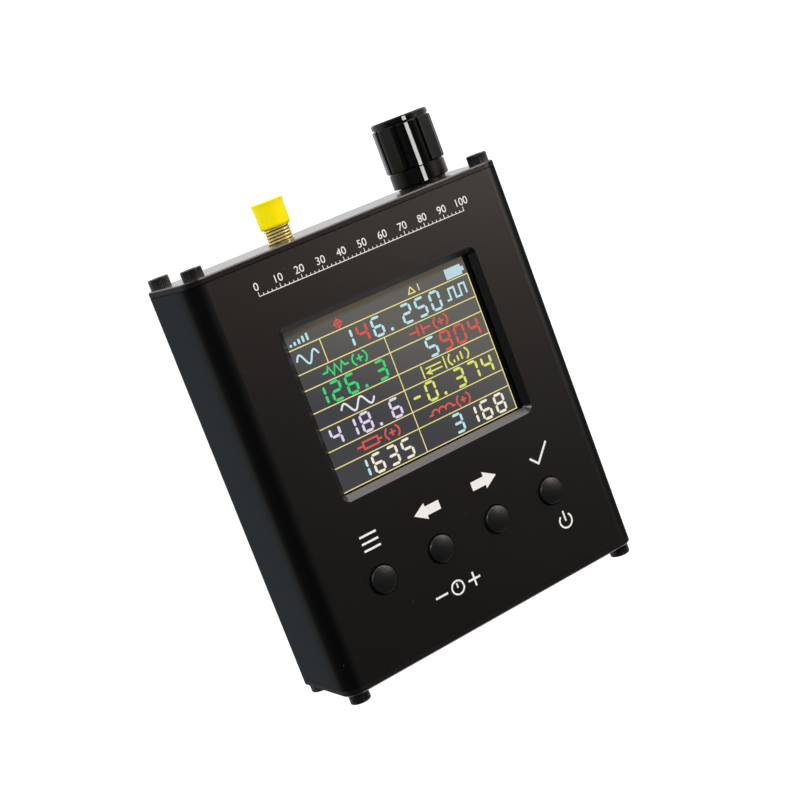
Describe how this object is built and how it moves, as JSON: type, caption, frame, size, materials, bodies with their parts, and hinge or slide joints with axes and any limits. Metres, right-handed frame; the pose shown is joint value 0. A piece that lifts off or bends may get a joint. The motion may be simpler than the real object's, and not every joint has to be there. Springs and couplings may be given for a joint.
{
  "type": "antenna analyzer",
  "caption": "Flat handheld radio antenna analyzer with a bevelled display window, push buttons, a turn-and-push knob and a capped threaded port",
  "frame": {"origin": "middle of the flat back face, on the case's centre line and half way between the end plates", "axes": "+Z out of the face, +Y along the case towards the end with the port and the knob, +X to the right seen from the front"},
  "size_m": [0.0832, 0.1168, 0.0285],
  "materials": {
    "case_paint": "fine matte black coat on extruded aluminium",
    "plate_black": "satin black coat on aluminium plate",
    "screw_black": "blackened steel",
    "knob_plastic": "glossy black moulded plastic",
    "pointer_white": "white filled line",
    "button_plastic": "satin black moulded plastic",
    "gold": "gold plated brass",
    "cap_yellow": "soft yellow vinyl",
    "screen": "lit colour display behind glass",
    "white_plastic": "moulded white plastic",
    "black_plastic": "moulded black plastic",
    "foam": "closed-cell foam",
    "flat_cable": "amber film",
    "circuit_board": "green solder mask on glass-fibre board",
    "shaft_steel": "turned steel",
    "bushing_zinc": "plated die casting",
    "sheet_steel": "plated sheet steel",
    "insulator": "white fluoropolymer",
    "battery_foil": "foil pouch",
    "lead_red": "soft insulated wire"
  },
  "bodies": {
    "root": {"case_tube": "case_paint", "top_plate": "plate_black", "bottom_plate": "plate_black", "plate_screws": "screw_black", "display_gasket": "foam", "display_glass": "screen", "display_tray": "white_plastic", "display_bracket": "black_plastic", "display_flex": "flat_cable", "flex_socket": "white_plastic", "display_board": "circuit_board", "tact_switches": "black_plastic", "encoder_housing": "black_plastic", "encoder_bushing": "bushing_zinc", "encoder_frame": "sheet_steel", "encoder_switch": "black_plastic", "encoder_board": "circuit_board", "encoder_washer": "sheet_steel", "encoder_nut": "bushing_zinc", "port_body": "gold", "port_insulator": "insulator", "port_contact": "gold", "main_board": "circuit_board", "processor": "black_plastic", "shield_frame": "sheet_steel", "shield_lid": "sheet_steel", "board_header": "black_plastic", "charging_socket": "sheet_steel", "battery_pack": "battery_foil", "battery_pad": "foam", "battery_leads": "lead_red", "battery_plug": "white_plastic", "battery_socket": "white_plastic"},
    "menu_button": {"menu_cap": "button_plastic", "menu_plunger": "black_plastic"},
    "left_button": {"left_cap": "button_plastic", "left_plunger": "black_plastic"},
    "right_button": {"right_cap": "button_plastic", "right_plunger": "black_plastic"},
    "confirm_button": {"confirm_cap": "button_plastic", "confirm_plunger": "black_plastic"},
    "encoder_core": {"encoder_rotor": "white_plastic"},
    "knob_assembly": {"knob": "knob_plastic", "knob_pointer": "pointer_white", "encoder_shaft": "shaft_steel"},
    "port_cover": {"dust_cap": "cap_yellow"}
  },
  "joints": [
    {"name": "menu_press", "type": "slide", "parent": "root", "child": "menu_button", "axis": [0, 0, -1], "range_m": [0, 0.0003], "stiffness_N_per_m": 1500},
    {"name": "left_press", "type": "slide", "parent": "root", "child": "left_button", "axis": [0, 0, -1], "range_m": [0, 0.0003], "stiffness_N_per_m": 1500},
    {"name": "right_press", "type": "slide", "parent": "root", "child": "right_button", "axis": [0, 0, -1], "range_m": [0, 0.0003], "stiffness_N_per_m": 1500},
    {"name": "confirm_press", "type": "slide", "parent": "root", "child": "confirm_button", "axis": [0, 0, -1], "range_m": [0, 0.0003], "stiffness_N_per_m": 1500},
    {"name": "knob_turn", "type": "hinge", "parent": "root", "child": "encoder_core", "pos_m": [0.0281, 0.0473, 0.0137], "axis": [0, 1, 0], "continuous": true},
    {"name": "knob_push", "type": "slide", "parent": "encoder_core", "child": "knob_assembly", "axis": [0, -1, 0], "range_m": [0, 0.0005], "stiffness_N_per_m": 3000},
    {"name": "dust_cap_pull", "type": "slide", "parent": "root", "child": "port_cover", "axis": [0, 1, 0], "range_m": [0, 0.012]}
  ]
}
